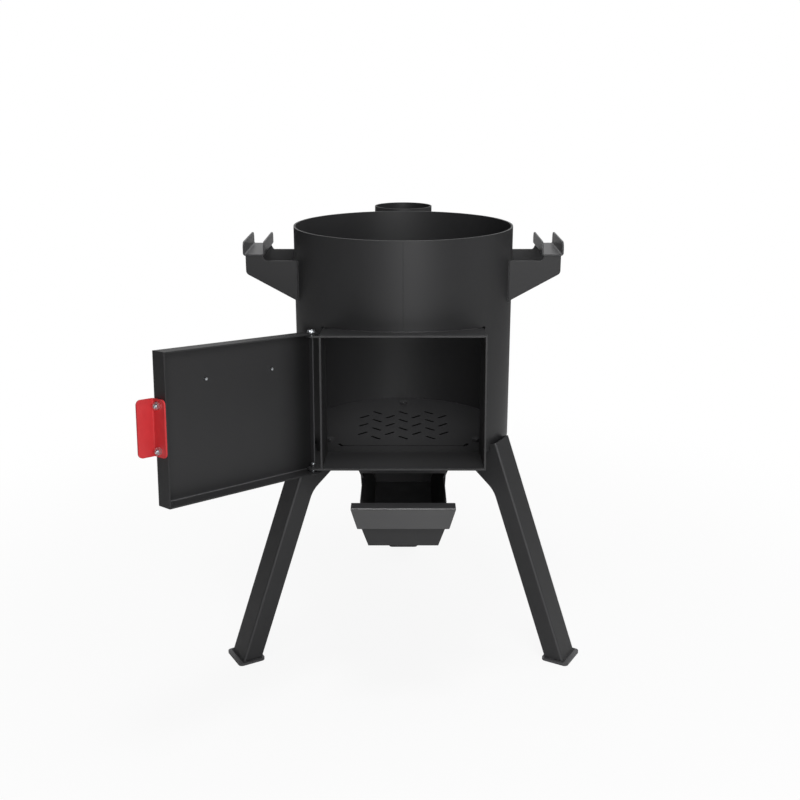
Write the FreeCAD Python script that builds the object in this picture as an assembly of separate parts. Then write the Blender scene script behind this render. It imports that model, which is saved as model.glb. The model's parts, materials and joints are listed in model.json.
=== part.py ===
import FreeCAD, Part
import os
from math import acos, atan, cos, degrees, radians, sin, sqrt, tan

# Cauldron stove: a rolled steel shell that carries a cauldron in its open top, with a fire floor, a
# firebox door on a collar that leans back, an ash drawer on rails, a flue, two side handles, three legs.
# Millimetres. +Z is up and the door looks along -Y. All is drawn round the shell's upright axis, from the
# ground up, and moved at the end so that the origin is in the middle of the ground that the stove takes up.

V = FreeCAD.Vector
X_AXIS = V(1, 0, 0)
Y_AXIS = V(0, 1, 0)
Z_AXIS = V(0, 0, 1)

# Driving dimensions: shell and fire floor
shell_diameter = 360.5
shell_wall = 3.0
rim_height = 710.2
floor_height = 357.7
floor_thickness = 3.0
floor_front_inset = 49.5
weld_gap = 0.1

# Driving dimensions: draught slots and expansion slit in the fire floor
slot_length = 22.0
slot_width = 4.5
slot_turn = 45.0
slot_pitch = 23.2
slot_columns = 3
slot_field_offset = 15.4
slit_inset = 86.0
slit_length = 202.0
slit_width = 1.2
slit_end_length = 15.0
slit_end_turn = 63.0
slit_end_shift = 3.0

# Driving dimensions: door collar, in its own leaning directions
collar_lean = 6.0
collar_width = 0.7 * shell_diameter
collar_height = 207.5
collar_thickness = 3.0
collar_reach = 60.0
collar_rise = 10.5
relief_radius = 3.0

# Driving dimensions: hinge and door
hinge_offset = 12.0
hinge_inset = 9.0
hinge_bolt_diameter = 6.0
hinge_running_gap = 0.05
hinge_washer_thickness = 1.5
hinge_washer_diameter = 12.5
hinge_play = 0.2
hinge_top_tip_length = 1.5
hinge_bottom_tip_length = 7.0
door_thickness = 2.0
door_bend_radius = 1.2
door_skin_gap = 5.0
door_lip_length = 12.5
door_overhang = 10.0
door_free_gap = 2.4
door_corner_radius = 7.0
door_swing = 133.9
door_hole_diameter = 4.5
door_hole_drop = 49.0
door_hole_near = 66.0
door_hole_far = 184.0

# Driving dimensions: door pull
pull_height = 80.0
pull_width = 28.0
pull_rise = 3.0
pull_thickness = 2.5
pull_bend_radius = 1.5
pull_corner_radius = 7.0
pull_bolt_spacing = 62.0
pull_bolt_diameter = 6.0
bolt_clearance = 0.25

# Driving dimensions: legs and feet
leg_ground_radius = 324.5
leg_top_gap = 9.3
leg_top_rise = 11.5
leg_width = 50.0
leg_depth = 30.4
leg_thickness = 3.0
leg_bend_radius = 1.0
leg_azimuths = {"front_left": 210.0, "front_right": 330.0, "rear": 90.0}
gusset_inset = 63.0
gusset_end_height = 9.0
gusset_slope = 40.2
gusset_fillet_radius = 48.0
leg_flange_length = 38.0
leg_bolt_inset = 39.5
leg_bolt_diameter = 8.0
foot_length = 46.5
foot_width = 58.5
foot_thickness = 4.0
foot_corner_radius = 7.0

# Driving dimensions: side handles
handle_spacing = 120.0
handle_thickness = 3.0
handle_length = 73.0
handle_drop = 50.0
handle_step_height = 8.0
handle_step_length = 4.0
handle_nose_height = 28.4
handle_root_height = 74.4
handle_corner_radius = 8.0
grip_width = 35.0
grip_overhang = 4.0
grip_height = 22.0
grip_thickness = 2.5
grip_bend_radius = 2.0
grip_end_length = 2.0
grip_corner_radius = 10.0

# Driving dimensions: flue
flue_bore_diameter = 100.0
flue_wall = 2.5
flue_gap = 6.0
flue_rise = 2.6
flue_length = 142.0
flue_foot_thickness = 3.0
neck_width = 70.0
neck_drop = 95.0
neck_wall = 2.5

# Driving dimensions: ash drawer and its rails
tray_drop = 29.8
tray_depth = 71.0
tray_top_width = 132.0
tray_bottom_width = 100.0
tray_thickness = 2.0
tray_bend_radius = 2.0
tray_length = 266.0
drawer_pulled_length = 89.0
drawer_stop_gap = 0.3
rail_front_inset = 9.0
rail_back_inset = 62.0
rail_thickness = 2.5
rail_bend_radius = 2.0
rail_side_gap = 2.0
rail_seat_gap = 0.3
rail_flange_width = 12.0
rail_shelf_width = 16.0
rail_notch_length = 51.0
rail_notch_drop = 29.0
rail_nose_drop = 49.0
chute_top_width = 143.0
chute_throat_width = 131.4
chute_straight = 11.5
chute_drop = 25.5
hood_height = 17.0
front_top_width = 158.0
front_bottom_width = 107.5
front_lip_length = 25.5
front_bend_radius = 2.0
apron_length = 30.6
apron_flare = 20.0
apron_bottom_width = 136.6
apron_corner_radius = 6.0

# Bolts and nuts
m6_flats_width = 10.0
m6_head_height = 4.0
m6_nut_height = 5.0
m6_button_diameter = 10.5
m6_button_height = 2.0
m8_flats_width = 13.0
m8_head_height = 5.3
m8_nut_height = 6.5
hex_chamfer = 30.0
bolt_tail_length = 2.0
thread_clearance = 0.1

# Values that follow from the driving dimensions
shell_radius = shell_diameter / 2
shell_inside = shell_radius - shell_wall
floor_front_y = floor_front_inset - shell_radius
floor_under = floor_height - floor_thickness
under_floor = floor_under - weld_gap
collar_half = collar_width / 2
collar_front = V(0, -shell_radius - collar_reach, floor_height + collar_rise)
collar_place = FreeCAD.Placement(collar_front, FreeCAD.Rotation(X_AXIS, -collar_lean))
hinge_u = -collar_half - hinge_offset
hinge_point = V(hinge_u, hinge_inset, 0)
door_wrap = hinge_washer_thickness + hinge_play
door_low = -door_wrap - door_thickness
door_high = collar_height + door_wrap + door_thickness
door_front = -door_skin_gap - door_thickness
door_lip = hinge_inset + door_lip_length
door_end = collar_half + door_free_gap + door_thickness
pull_middle = (door_low + door_high) / 2 + pull_rise
leg_top_radius = shell_radius + leg_top_gap
leg_top_height = floor_height + leg_top_rise
leg_lean = degrees(atan((leg_ground_radius - leg_top_radius) / leg_top_height))
leg_across = leg_depth / cos(radians(leg_lean))
leg_bolt_radius = shell_radius - leg_bolt_inset
gusset_radius = shell_radius - gusset_inset
handle_reach = shell_radius + handle_length
handle_shelf_z = rim_height - handle_drop
handle_seat_z = handle_shelf_z + handle_step_height
flue_radius = flue_bore_diameter / 2 + flue_wall
flue_y = shell_radius + flue_gap + flue_radius
flue_top = rim_height + flue_rise
flue_bottom = flue_top - flue_length
neck_half = neck_width / 2
neck_inside = neck_half - neck_wall
neck_middle_z = rim_height - neck_drop
tray_top_z = floor_under - tray_drop
tray_bottom_z = tray_top_z - tray_depth
rail_front_y = rail_front_inset - shell_radius
rail_back_y = shell_radius - rail_back_inset
front_back_y = rail_front_y - drawer_stop_gap - drawer_pulled_length
beyond = 2 * rim_height


def block(x_range, y_range, z_range):
    """Box between the low and high value of each direction."""
    low = V(x_range[0], y_range[0], z_range[0])
    size = V(x_range[1], y_range[1], z_range[1]).sub(low)
    return Part.makeBox(size.x, size.y, size.z, low)


def rod(radius, z_range, x=0.0, y=0.0):
    """Upright cylinder between two heights."""
    return Part.makeCylinder(radius, z_range[1] - z_range[0], V(x, y, z_range[0]), Z_AXIS)


def tube(outer, inner, z_range, x=0.0, y=0.0):
    """Upright ring between two heights."""
    return rod(outer, z_range, x, y).cut(rod(inner, z_range, x, y))


def rounded(corners):
    """Face in the XY plane through (x, y, radius) corners, each rounded by its own radius."""
    ends = []
    for i, (x, y, radius) in enumerate(corners):
        here = V(x, y, 0)
        after = corners[(i + 1) % len(corners)]
        to_last = V(corners[i - 1][0], corners[i - 1][1], 0).sub(here).normalize()
        to_next = V(after[0], after[1], 0).sub(here).normalize()
        if radius == 0:
            ends.append((here, None, here))
            continue
        half_angle = acos(to_last.dot(to_next)) / 2
        inward = to_last.add(to_next).normalize()
        run = radius / tan(half_angle)
        crown = here.add(inward * (radius / sin(half_angle) - radius))
        ends.append((here.add(to_last * run), crown, here.add(to_next * run)))
    edges = []
    for i, (start, crown, end) in enumerate(ends):
        last_end = ends[i - 1][2]
        if last_end.sub(start).Length > 1e-6:
            edges.append(Part.makeLine(last_end, start))
        if crown is not None:
            edges.append(Part.Arc(start, crown, end).toShape())
    return Part.Face(Part.Wire(edges))


def bent(path, sheet, bend):
    """Corners of a bent sheet's section: a path along one face, with the sheet on the path's left.

    The inside of each bend has the radius given, and the outside is larger by the sheet."""
    near = [(path[0][0], path[0][1], 0)]
    steps = [V(b[0] - a[0], b[1] - a[1], 0).normalize() for a, b in zip(path, path[1:])]
    sides = [V(-step.y, step.x, 0) for step in steps]
    first = V(path[0][0], path[0][1], 0).add(sides[0] * sheet)
    away = [(first.x, first.y, 0)]
    for i in range(1, len(path) - 1):
        turns_left = steps[i - 1].cross(steps[i]).z > 0
        shift = sides[i - 1].add(sides[i]) * (sheet / (1 + sides[i - 1].dot(sides[i])))
        near.append((path[i][0], path[i][1], bend + sheet if turns_left else bend))
        away.append((path[i][0] + shift.x, path[i][1] + shift.y, bend if turns_left else bend + sheet))
    last = V(path[-1][0], path[-1][1], 0).add(sides[-1] * sheet)
    near.append((path[-1][0], path[-1][1], 0))
    away.append((last.x, last.y, 0))
    return near + away[::-1]


def level_plate(corners, z_range):
    """Level plate with its outline in X and Y."""
    return rounded(corners).extrude(V(0, 0, z_range[1] - z_range[0])).translated(V(0, 0, z_range[0]))


def front_plate(corners, y_range):
    """Upright plate with its outline in X and Z, seen from the front."""
    plate = rounded(corners).extrude(V(0, 0, y_range[1] - y_range[0]))
    plate.Placement = FreeCAD.Placement(V(0, y_range[1], 0), FreeCAD.Rotation(X_AXIS, 90))
    return plate


def side_plate(corners, x_range):
    """Upright plate with its outline in Y and Z, seen from the side."""
    plate = rounded(corners).extrude(V(0, 0, x_range[1] - x_range[0]))
    plate.Placement = FreeCAD.Placement(V(x_range[0], 0, 0), FreeCAD.Rotation(V(1, 1, 1), 120))
    return plate


def slot(length, width, turn, x, y, z_range):
    """Level slot with round ends, turned about its middle."""
    half = length / 2
    end = width / 2 * 0.999
    corners = [(half, end, end), (-half, end, end), (-half, -end, end), (half, -end, end)]
    shape = level_plate(corners, z_range)
    shape.rotate(V(0, 0, 0), Z_AXIS, turn)
    return shape.translated(V(x, y, 0))


def hexagon(flats, z_range, chamfer_top=True):
    """Upright hexagonal prism about the Z axis, its far corners taken off as on a bolt head."""
    corner = flats / 2 / cos(radians(30))
    points = [V(corner * cos(radians(60 * i)), corner * sin(radians(60 * i)), z_range[0]) for i in range(7)]
    prism = Part.Face(Part.makePolygon(points)).extrude(V(0, 0, z_range[1] - z_range[0]))
    tall = z_range[1] - z_range[0]
    widest = flats / 2 + tall / tan(radians(hex_chamfer))
    cone = Part.makeCone(widest, flats / 2, tall, V(0, 0, z_range[0]), Z_AXIS)
    if not chamfer_top:
        cone = Part.makeCone(flats / 2, widest, tall, V(0, 0, z_range[0]), Z_AXIS)
    return prism.common(cone)


def turned(shape, angle, centre=V(0, 0, 0), axis=Z_AXIS):
    """Copy of a shape turned about an axis through a point."""
    copy = shape.copy()
    copy.rotate(centre, axis, angle)
    return copy


def other_side(shape):
    """Copy of a shape across the stove's middle plane."""
    return shape.mirror(V(0, 0, 0), X_AXIS)


def joined(shapes):
    """One solid from shapes that meet, without seams between them."""
    return shapes[0].multiFuse(shapes[1:]).removeSplitter()


def in_collar(shape):
    """Copy of a shape moved from the collar's leaning directions to the stove's own."""
    copy = shape.copy()
    copy.Placement = collar_place.multiply(copy.Placement)
    return copy


def on_door(shape):
    """Copy of a shape moved from the closed door to the door as it stands open."""
    return in_collar(turned(shape, -door_swing, hinge_point))


def across(shape, v, w):
    """Copy of a shape drawn about the upright axis, laid along the collar's width at a depth and height."""
    return turned(shape, 90, axis=Y_AXIS).translated(V(0, v, w))


nodes = {}

# Shell: a rolled tube with a doorway that is open at the bottom, two relief holes and the flue's hole
shell = tube(shell_radius, shell_inside, (floor_under, rim_height))
opening = collar_half + weld_gap
lintel = collar_height + weld_gap
doorway = block((-opening, opening), (0, shell_radius), (-collar_reach, lintel))
shell = shell.cut(in_collar(doorway))
for side in (-1, 1):
    relief = rod(relief_radius, (0, shell_radius))
    relief.Placement = FreeCAD.Placement(V(side * opening, 0, lintel), FreeCAD.Rotation(X_AXIS, -90))
    shell = shell.cut(in_collar(relief))
flue_hole = (neck_middle_z - neck_inside, neck_middle_z + neck_inside)
nodes["body_shell"] = shell.cut(block((-neck_inside, neck_inside), (0, beyond), flue_hole))

# Fire floor: a disc with a straight front edge, slots that lean each way in turn, and an expansion slit
floor = rod(shell_inside - weld_gap, (floor_under, floor_height))
floor = floor.cut(block((-beyond, beyond), (-beyond, floor_front_y), (0, beyond)))
through = (floor_under - floor_thickness, floor_height + floor_thickness)
holes = []
for column in range(-slot_columns, slot_columns + 1):
    even = column % 2 == 0
    rows = 4 if even else 3
    for row in range(rows):
        y = slot_field_offset + (row - (rows - 1) / 2) * 2 * slot_pitch
        turn = -slot_turn if even else slot_turn
        holes.append(slot(slot_length, slot_width, turn, column * slot_pitch, y, through))
slit_y = slit_inset - shell_radius
holes.append(slot(slit_length, slit_width, 0, 0, slit_y, through))
for side in (-1, 1):
    x = side * (slit_length / 2 + slit_end_shift)
    holes.append(slot(slit_end_length, slot_width, side * slit_end_turn, x, slit_y + slit_end_shift, through))
for azimuth in leg_azimuths.values():
    holes.append(turned(rod(leg_bolt_diameter / 2 + bolt_clearance, through, leg_bolt_radius), azimuth))
nodes["fire_floor"] = floor.cut(holes)

# Door collar: four plates in a leaning box, ending flush inside the shell, with ears for the hinge bolts
firebox = rod(shell_inside, (0, beyond))
ear_hole = rod(hinge_bolt_diameter / 2 + thread_clearance, (-beyond, beyond), hinge_u, hinge_inset)
sill_back = (floor_front_y - collar_front.y - 5 * weld_gap) / cos(radians(collar_lean))
for name, w_range, v_end in (
    ("collar_top", (collar_height - collar_thickness, collar_height), shell_radius),
    ("collar_sill", (0, collar_thickness), sill_back),
):
    plate = block((-collar_half, collar_half), (0, v_end), w_range)
    arm = block((hinge_u, -collar_half), (0, 2 * hinge_inset), w_range)
    ear = rod(hinge_inset, w_range, hinge_u, hinge_inset)
    plate = in_collar(joined([plate, arm, ear]).cut(ear_hole))
    nodes[name] = plate.cut(firebox) if name == "collar_top" else plate
cheek_range = (collar_thickness + weld_gap, collar_height - collar_thickness - weld_gap)
cheek = block((collar_half - collar_thickness, collar_half), (0, shell_radius), cheek_range)
cheek = in_collar(cheek).cut(firebox)
nodes["collar_right"] = cheek
nodes["collar_left"] = other_side(cheek)

# Hinge: a bolt through the door's flange, a spacer washer and the ear, at the top and at the bottom
shank = hinge_bolt_diameter / 2
head_seat = hinge_play / 2
top_bolt = joined([
    hexagon(m6_flats_width, (door_high + head_seat, door_high + head_seat + m6_head_height)),
    rod(shank, (collar_height - collar_thickness - hinge_top_tip_length, door_high + head_seat)),
])
bottom_bolt = joined([
    hexagon(m6_flats_width, (door_low - head_seat - m6_head_height, door_low - head_seat), chamfer_top=False),
    rod(shank, (door_low - head_seat, collar_thickness + hinge_bottom_tip_length)),
])
washer_bore = shank + thread_clearance
washer_radius = hinge_washer_diameter / 2
top_washer = tube(washer_radius, washer_bore, (collar_height, collar_height + hinge_washer_thickness))
bottom_washer = tube(washer_radius, washer_bore, (-hinge_washer_thickness, 0))
for name, shape in (
    ("hinge_bolt_top", top_bolt),
    ("hinge_bolt_bottom", bottom_bolt),
    ("hinge_washer_top", top_washer),
    ("hinge_washer_bottom", bottom_washer),
):
    nodes[name] = in_collar(shape.translated(hinge_point))

# Door: a skin with flanges bent back along its top, bottom and free end, and a raw edge past the hinge
def door_body(inset, bend):
    """The door's outside, or the hollow in it when set in by the sheet; open to the hinge and the lip."""
    open_by = 2 * inset
    u_low = hinge_u - door_overhang - open_by
    u_high = door_end - inset
    v_low = door_front + inset
    v_high = door_lip + open_by
    w_low = door_low + inset
    w_high = door_high - inset
    hinge_corner = 0 if inset else door_corner_radius
    section = [(v_low, w_low, bend), (v_high, w_low, 0), (v_high, w_high, 0), (v_low, w_high, bend)]
    plan = [(u_low, v_low, 0), (u_high, v_low, bend), (u_high, v_high, 0), (u_low, v_high, hinge_corner)]
    return side_plate(section, (u_low, u_high)).common(level_plate(plan, (w_low, w_high)))


door = door_body(0.0, door_bend_radius + door_thickness).cut(door_body(door_thickness, door_bend_radius))
door_holes = [rod(hinge_bolt_diameter / 2 + hinge_running_gap, (-beyond, beyond), hinge_u, hinge_inset)]
for along in (door_hole_near, door_hole_far):
    drill = rod(door_hole_diameter / 2, (-door_thickness, door_thickness))
    drill.Placement = FreeCAD.Placement(
        V(hinge_u + along, door_front + door_thickness / 2, door_high - door_hole_drop),
        FreeCAD.Rotation(X_AXIS, 90),
    )
    door_holes.append(drill)
pull_v = (door_front + door_lip) / 2
pull_heights = [pull_middle + side * pull_bolt_spacing / 2 for side in (-1, 1)]
pull_drill = rod(pull_bolt_diameter / 2 + bolt_clearance, (0, beyond))
pull_drills = [across(pull_drill, pull_v, w) for w in pull_heights]
nodes["door_panel"] = on_door(door.cut(door_holes + pull_drills))

# Door pull: an angle bolted to the free end's flange, with a tab that stands out in line with the skin
pull_seat = door_end + weld_gap
pull_path = [(pull_seat, door_lip), (pull_seat, door_front), (pull_seat + pull_width, door_front)]
pull_low = pull_middle - pull_height / 2
pull_high = pull_middle + pull_height / 2
pull_face = [
    (pull_seat, pull_low, 0),
    (pull_seat + pull_width, pull_low, pull_corner_radius),
    (pull_seat + pull_width, pull_high, pull_corner_radius),
    (pull_seat, pull_high, 0),
]
pull_edge = [
    (door_front, pull_low, 0),
    (door_lip, pull_low, pull_corner_radius),
    (door_lip, pull_high, pull_corner_radius),
    (door_front, pull_high, 0),
]
pull = level_plate(bent(pull_path, pull_thickness, pull_bend_radius), (pull_low, pull_high))
pull = pull.common(front_plate(pull_face, (door_front, door_lip)))
pull = pull.common(side_plate(pull_edge, (pull_seat, pull_seat + pull_width)))
nodes["door_pull"] = on_door(pull.cut(pull_drills))
pull_bolts = []
pull_nuts = []
for w in pull_heights:
    inner = door_end - door_thickness - weld_gap
    outer = pull_seat + pull_thickness + weld_gap
    button = rod(m6_button_diameter / 2, (inner - m6_button_height, inner))
    stem = rod(pull_bolt_diameter / 2, (inner, outer + m6_nut_height + bolt_tail_length))
    pull_bolts.append(across(joined([button, stem]), pull_v, w))
    nut = hexagon(m6_flats_width, (outer, outer + m6_nut_height))
    nut_bore = rod(pull_bolt_diameter / 2 + thread_clearance, (0, beyond))
    pull_nuts.append(across(nut.cut(nut_bore), pull_v, w))
nodes["door_pull_bolts"] = on_door(Part.makeCompound(pull_bolts))
nodes["door_pull_nuts"] = on_door(Part.makeCompound(pull_nuts))

# Legs: bent channels, open inward, whose side walls grow into gussets under the fire floor
lean = tan(radians(leg_lean))
slope = tan(radians(gusset_slope))
half_leg = leg_width / 2
channel_path = [(-leg_depth, -half_leg), (0, -half_leg), (0, half_leg), (-leg_depth, half_leg)]
channel_range = (-leg_depth, leg_top_height / cos(radians(leg_lean)))
channel = level_plate(bent(channel_path, leg_thickness, leg_bend_radius), channel_range)
channel.Placement = FreeCAD.Placement(
    V(leg_ground_radius, 0, 0), FreeCAD.Rotation(Y_AXIS, -leg_lean)
).multiply(channel.Placement)
inner_ground = leg_ground_radius - leg_across
gusset_end_z = under_floor - gusset_end_height
knee_r = (inner_ground - lean * (gusset_end_z + slope * gusset_radius)) / (1 - lean * slope)
knee_z = gusset_end_z - slope * (knee_r - gusset_radius)
gusset_foot_z = (foot_thickness + knee_z) / 1.4
foot_r = inner_ground - lean * gusset_foot_z
gusset = [
    (gusset_radius, under_floor, 0),
    (gusset_radius, gusset_end_z, 0),
    (knee_r, knee_z, gusset_fillet_radius),
    (foot_r, gusset_foot_z, 0),
    (foot_r + leg_depth / 3, gusset_foot_z, 0),
    (shell_radius, under_floor, 0),
]
half_inside = half_leg - leg_thickness
flange_range = (leg_bolt_radius - leg_flange_length / 2, leg_bolt_radius + leg_flange_length / 2)
leg = joined([
    channel,
    front_plate(gusset, (half_inside, half_leg)),
    front_plate(gusset, (-half_leg, -half_inside)),
    block(flange_range, (-half_inside, half_inside), (under_floor - leg_thickness, under_floor)),
])
leg_drill_range = (under_floor - 2 * leg_thickness, floor_height)
leg = leg.cut([
    rod(shell_radius + weld_gap, (under_floor, beyond)),
    rod(beyond, (-beyond, foot_thickness + weld_gap)),
    rod(leg_bolt_diameter / 2 + bolt_clearance, leg_drill_range, leg_bolt_radius),
])
foot_radius = leg_ground_radius - leg_across / 2
foot_x = (foot_radius - foot_length / 2, foot_radius + foot_length / 2)
foot_y = [side * foot_width / 2 for side in (-1, -1, 1, 1)]
foot = level_plate(
    [(x, y, foot_corner_radius) for x, y in zip(foot_x + foot_x[::-1], foot_y)],
    (0, foot_thickness),
)
nut_top = under_floor - leg_thickness - weld_gap
leg_screw = joined([
    hexagon(m8_flats_width, (floor_height + weld_gap, floor_height + weld_gap + m8_head_height)),
    rod(leg_bolt_diameter / 2, (nut_top - m8_nut_height - bolt_tail_length, floor_height + weld_gap)),
])
leg_nut = hexagon(m8_flats_width, (nut_top - m8_nut_height, nut_top), chamfer_top=False)
leg_nut = leg_nut.cut(rod(leg_bolt_diameter / 2 + thread_clearance, (0, beyond)))
out_to_bolt = V(leg_bolt_radius, 0, 0)
for name, azimuth in leg_azimuths.items():
    nodes["leg_" + name] = turned(leg, azimuth)
    nodes["foot_" + name] = turned(foot, azimuth)
nodes["leg_bolts"] = Part.makeCompound(
    [turned(leg_screw.translated(out_to_bolt), azimuth) for azimuth in leg_azimuths.values()]
)
nodes["leg_nuts"] = Part.makeCompound(
    [turned(leg_nut.translated(out_to_bolt), azimuth) for azimuth in leg_azimuths.values()]
)

# Flue: an upright pipe with a closed foot, on a square neck that is cut to the shell and to the pipe
pipe = tube(flue_radius, flue_bore_diameter / 2, (flue_bottom, flue_top), 0, flue_y)
nodes["flue_pipe"] = pipe.cut(block((-neck_inside, neck_inside), (0, flue_y), flue_hole))
foot_top = flue_bottom - weld_gap
nodes["flue_foot"] = rod(flue_radius, (foot_top - flue_foot_thickness, foot_top), 0, flue_y)
neck = block((-neck_half, neck_half), (0, flue_y), (neck_middle_z - neck_half, neck_middle_z + neck_half))
nodes["flue_neck"] = neck.cut([
    block((-neck_inside, neck_inside), (0, flue_y), flue_hole),
    rod(shell_radius + weld_gap, (0, beyond)),
    rod(flue_radius + weld_gap, (0, beyond), 0, flue_y),
])

# Side handles: two bracket plates on the shell that carry a grip channel, open upward
root_x = sqrt(shell_radius ** 2 - (handle_spacing / 2) ** 2)
handle_nose_z = handle_seat_z - handle_nose_height
root_drop = (handle_root_height - handle_nose_height) / (handle_reach - root_x)
grip_outer = handle_reach + grip_overhang
grip_inner = grip_outer - grip_width
bracket = [
    (0, handle_shelf_z, 0),
    (grip_inner, handle_shelf_z, handle_step_length),
    (grip_inner + handle_step_length, handle_seat_z, handle_step_length / 2),
    (handle_reach, handle_seat_z, 0),
    (handle_reach, handle_nose_z, handle_corner_radius),
    (0, handle_nose_z - root_drop * handle_reach, 0),
]
grip_base = handle_seat_z + weld_gap
grip_top = handle_seat_z + grip_height
grip_half = handle_spacing / 2 + grip_end_length
grip_path = [(grip_inner, grip_top), (grip_inner, grip_base), (grip_outer, grip_base), (grip_outer, grip_top)]
grip_side = [
    (-grip_half, grip_base, 0),
    (grip_half, grip_base, 0),
    (grip_half, grip_top, grip_corner_radius),
    (-grip_half, grip_top, grip_corner_radius),
]
grip = front_plate(bent(grip_path, grip_thickness, grip_bend_radius), (-grip_half, grip_half))
grip = grip.common(side_plate(grip_side, (grip_inner, grip_outer)))
for end, y in (("front", -handle_spacing / 2), ("rear", handle_spacing / 2)):
    plate = front_plate(bracket, (y - handle_thickness / 2, y + handle_thickness / 2))
    plate = plate.cut(rod(shell_radius + weld_gap, (0, beyond)))
    nodes["handle_right_" + end] = plate
    nodes["handle_left_" + end] = other_side(plate)
nodes["handle_right_grip"] = grip
nodes["handle_left_grip"] = other_side(grip)

# Ash drawer: a tray with sloping sides, and a front bent forward into a lip and down into a flared pull
tray_y = (front_back_y + weld_gap, front_back_y + tray_length)
tray_top_half = tray_top_width / 2
tray_bottom_half = tray_bottom_width / 2
tray_path = [
    (-tray_top_half, tray_top_z),
    (-tray_bottom_half, tray_bottom_z),
    (tray_bottom_half, tray_bottom_z),
    (tray_top_half, tray_top_z),
]
tray_outer_bend = tray_bend_radius + tray_thickness
tray_end = [(x, z, tray_outer_bend if z == tray_bottom_z else 0) for x, z in tray_path]
nodes["drawer_tray"] = joined([
    front_plate(bent(tray_path, tray_thickness, tray_bend_radius), tray_y),
    front_plate(tray_end, (tray_y[1] - tray_thickness, tray_y[1])),
])
front_top_half = front_top_width / 2
front_bottom_half = front_bottom_width / 2
apron_bottom_half = apron_bottom_width / 2
lip_y = front_back_y - front_lip_length
apron_y = lip_y - apron_length * sin(radians(apron_flare))
apron_z = tray_top_z - apron_length * cos(radians(apron_flare))
front_path = [
    (front_back_y, tray_bottom_z),
    (front_back_y, tray_top_z),
    (lip_y, tray_top_z),
    (apron_y, apron_z),
]
front_section = bent(front_path, tray_thickness, front_bend_radius)
front_sheet = side_plate(front_section, (-front_top_half, front_top_half))
lip_middle = (lip_y + front_back_y) / 2
panel_shape = [
    (-front_bottom_half, tray_bottom_z, 0),
    (front_bottom_half, tray_bottom_z, 0),
    (front_top_half, tray_top_z - tray_thickness, 0),
    (front_top_half, tray_top_z + tray_thickness, 0),
    (-front_top_half, tray_top_z + tray_thickness, 0),
    (-front_top_half, tray_top_z - tray_thickness, 0),
]
apron_shape = [
    (-apron_bottom_half, apron_z - tray_thickness, apron_corner_radius),
    (apron_bottom_half, apron_z - tray_thickness, apron_corner_radius),
    (front_top_half, tray_top_z - tray_thickness, 0),
    (front_top_half, tray_top_z + tray_thickness, 0),
    (-front_top_half, tray_top_z + tray_thickness, 0),
    (-front_top_half, tray_top_z - tray_thickness, 0),
]
nodes["drawer_front"] = joined([
    front_sheet.common(front_plate(panel_shape, (lip_middle, 0))),
    front_sheet.common(front_plate(apron_shape, (-beyond, lip_middle))),
])

# Drawer rails: bent strips under the fire floor that follow the tray's sides, cut low at the front
def rail_inside(z):
    """Half the width between the rails at a height: the tray's own slope, clear of it by the side gap."""
    spread = (tray_top_half - tray_bottom_half) / (tray_top_z - tray_bottom_z)
    return tray_bottom_half + spread * (z - tray_bottom_z) + rail_side_gap


rail_seat = tray_bottom_z - rail_seat_gap
rail_path = [
    (rail_inside(under_floor) + rail_flange_width, under_floor),
    (rail_inside(under_floor), under_floor),
    (rail_inside(rail_seat), rail_seat),
    (rail_inside(rail_seat) - rail_shelf_width, rail_seat),
]
rail = front_plate(bent(rail_path, rail_thickness, rail_bend_radius), (rail_front_y, rail_back_y))
notch_back_y = rail_front_y + rail_notch_length
notch = [
    (rail_front_y, under_floor - rail_nose_drop, 0),
    (notch_back_y, under_floor - rail_notch_drop, 0),
    (notch_back_y, floor_height, 0),
    (rail_front_y, floor_height, 0),
]
rail = rail.cut(side_plate(notch, (0, beyond)))
nodes["rail_right"] = rail
nodes["rail_left"] = other_side(rail)

# Ash chute: sides that close in on the tray's mouth under the fire floor, with a strip across their front
chute_top_half = chute_top_width / 2
chute_low_z = under_floor - chute_drop
chute_path = [
    (chute_throat_width / 2, chute_low_z),
    (chute_top_half, under_floor - chute_straight),
    (chute_top_half, under_floor),
]
chute_side = front_plate(bent(chute_path, rail_thickness, rail_bend_radius), (rail_front_y, rail_back_y))
hood_low = under_floor - hood_height
hood_y = (rail_front_y, rail_front_y + rail_thickness)
hood = block((-chute_top_half, chute_top_half), hood_y, (hood_low, under_floor))
chute_outline = front_plate(
    [(side * x, z, 0) for side, points in ((1, chute_path), (-1, chute_path[::-1])) for x, z in points],
    hood_y,
)
nodes["ash_chute"] = joined([chute_side, other_side(chute_side), hood.common(chute_outline)])

# The origin: on the ground, in the middle of the box round the stove as it stands
box = Part.makeCompound(list(nodes.values())).optimalBoundingBox(False, False)
to_origin = V(-(box.XMin + box.XMax) / 2, -(box.YMin + box.YMax) / 2, -box.ZMin)
os.makedirs("parts", exist_ok=True)
for name, shape in nodes.items():
    shape.translated(to_origin).exportStep("parts/" + name + ".step")
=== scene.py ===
# %% [markdown]
# # A cauldron stove in matte black paint
# A cauldron stove is a steel tube on three legs. A cauldron hangs in its open top, a wood fire burns on
# the slotted floor inside, and ash falls into a drawer below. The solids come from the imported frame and
# stay where they are. This lesson paints them, adds the small things that a plate drawing leaves out (weld
# beads, screw threads, rivets, the tube's seam), and pictures the stove in a white studio.

# %% The frame
import json
from math import cos, pi, radians, sin, sqrt

import bpy
from mathutils import Matrix, Vector


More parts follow.
